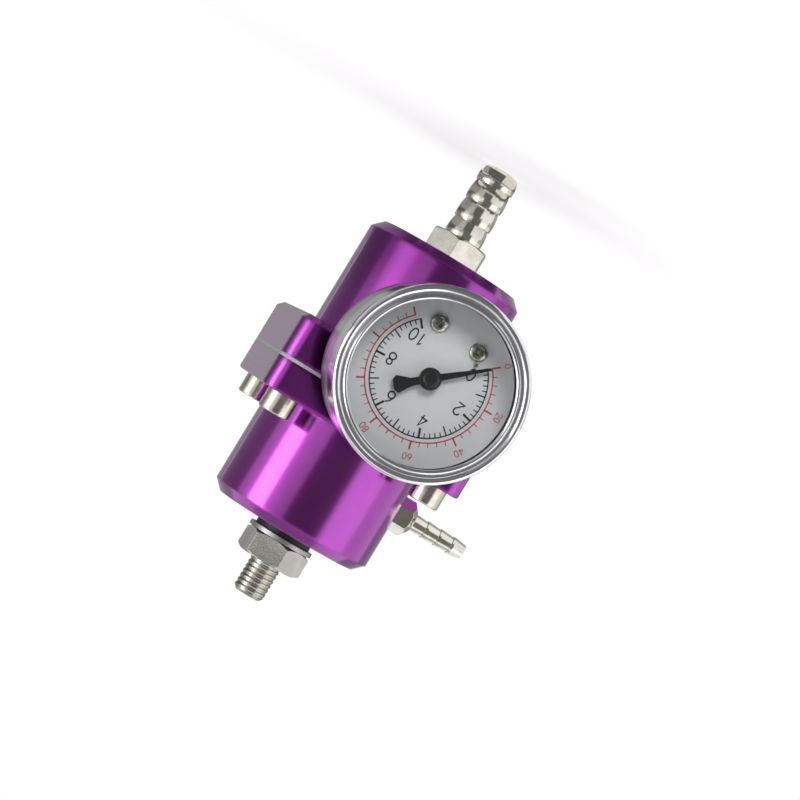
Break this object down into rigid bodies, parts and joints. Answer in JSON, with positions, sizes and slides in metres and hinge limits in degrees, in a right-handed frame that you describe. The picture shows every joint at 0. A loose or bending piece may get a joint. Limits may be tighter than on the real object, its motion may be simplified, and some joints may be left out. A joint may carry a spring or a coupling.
{
  "type": "fuel_pressure_regulator",
  "caption": "Adjustable fuel pressure regulator with a purple anodised body, square flange, dial gauge, hose barbs and vacuum nipple",
  "frame": {"origin": "on the main axis at the middle of the last crest land of the return hose barb", "axes": "+Z along the main axis towards the adjusting screw, -Y out of the gauge's face, -X along the vacuum nipple"},
  "size_m": [0.0674, 0.1184, 0.1194],
  "materials": {
    "purple_anodised": "satin anodised",
    "nickel_plate": "bright nickel plate",
    "nut_steel": "satin",
    "screw_steel": "turned",
    "chrome_ring": "polished",
    "case_steel": "satin",
    "brass": "turned",
    "spring_steel": "drawn wire",
    "rubber_black": "matte",
    "diaphragm_cloth": "matte cloth-faced rubber",
    "dial_white": "satin paint",
    "pointer_black": "satin paint",
    "window_clear": "clear polished"
  },
  "bodies": {
    "housing": {"fuel_body": "purple_anodised", "bonnet": "purple_anodised", "diaphragm": "diaphragm_cloth", "valve_seat": "brass", "main_spring": "spring_steel", "seal_ring": "rubber_black", "flange_screws": "nickel_plate", "return_barb": "nickel_plate", "inlet_barb": "nickel_plate", "vacuum_nipple": "nickel_plate", "gauge_case": "case_steel", "case_screws": "screw_steel", "gauge_stem": "brass", "bezel_ring": "chrome_ring", "window": "window_clear", "window_gasket": "rubber_black", "dial": "dial_white", "dial_screws": "screw_steel", "stop_pin": "screw_steel", "bourdon_tube": "brass", "hairspring": "spring_steel", "back_plate": "brass", "front_plate": "brass", "movement_pillars": "brass", "movement_screws": "screw_steel"},
    "needle": {"pointer": "pointer_black", "pinion_shaft": "screw_steel"},
    "sector": {"sector_gear": "brass"},
    "drag_link": {"link": "brass"},
    "spring_end": {"spring_seat": "nut_steel"},
    "adjuster": {"adjusting_screw": "screw_steel"},
    "nut_rest": {"lock_washer": "nut_steel"},
    "locking": {"lock_nut": "nut_steel"},
    "valve": {"diaphragm_plate": "spring_steel", "valve_carrier": "brass", "carrier_nut": "nut_steel", "valve_pad": "rubber_black"}
  },
  "joints": [
    {"name": "pointer_turn", "type": "hinge", "parent": "housing", "child": "needle", "pos_m": [0, -0.02775, 0.0491], "axis": [0, 1, 0], "range_deg": [0, 270], "stiffness_Nm_per_rad": 0.0002, "springref_deg": -11.46, "deforming": ["bourdon_tube", "hairspring"]},
    {"name": "sector_turn", "type": "hinge", "parent": "housing", "child": "sector", "pos_m": [0.00821, -0.02775, 0.04209], "axis": [0, 1, 0], "range_deg": [-39, 0]},
    {"name": "link_turn", "type": "hinge", "parent": "sector", "child": "drag_link", "pos_m": [0.01203, -0.02775, 0.04033], "axis": [0, 1, 0], "range_deg": [0, 39]},
    {"name": "adjuster_feed", "type": "slide", "parent": "housing", "child": "spring_end", "axis": [0, 0, 1], "range_m": [-0.00375, 0.0025], "deforming": ["main_spring"]},
    {"name": "adjuster_turn", "type": "hinge", "parent": "spring_end", "child": "adjuster", "pos_m": [0, 0, 0.0973], "axis": [0, 0, 1], "range_deg": [-1083, 723]},
    {"name": "lock_nut_feed", "type": "slide", "parent": "housing", "child": "nut_rest", "axis": [0, 0, 1], "range_m": [0, 0.0025]},
    {"name": "lock_nut_turn", "type": "hinge", "parent": "nut_rest", "child": "locking", "pos_m": [0, 0, 0.0973], "axis": [0, 0, 1], "range_deg": [0, 723]},
    {"name": "valve_lift", "type": "slide", "parent": "housing", "child": "valve", "axis": [0, 0, 1], "range_m": [0, 0.0008], "stiffness_N_per_m": 1500, "springref_m": -0.002, "deforming": ["diaphragm", "main_spring"]}
  ],
  "couplings": [
    {"joint": "sector_turn", "follows": "pointer_turn", "ratio": -0.14286},
    {"joint": "link_turn", "follows": "pointer_turn", "ratio": 0.14286},
    {"joint": "adjuster_turn", "follows": "adjuster_feed", "rad_per_m": 5026.5},
    {"joint": "lock_nut_turn", "follows": "lock_nut_feed", "rad_per_m": 5026.5}
  ]
}
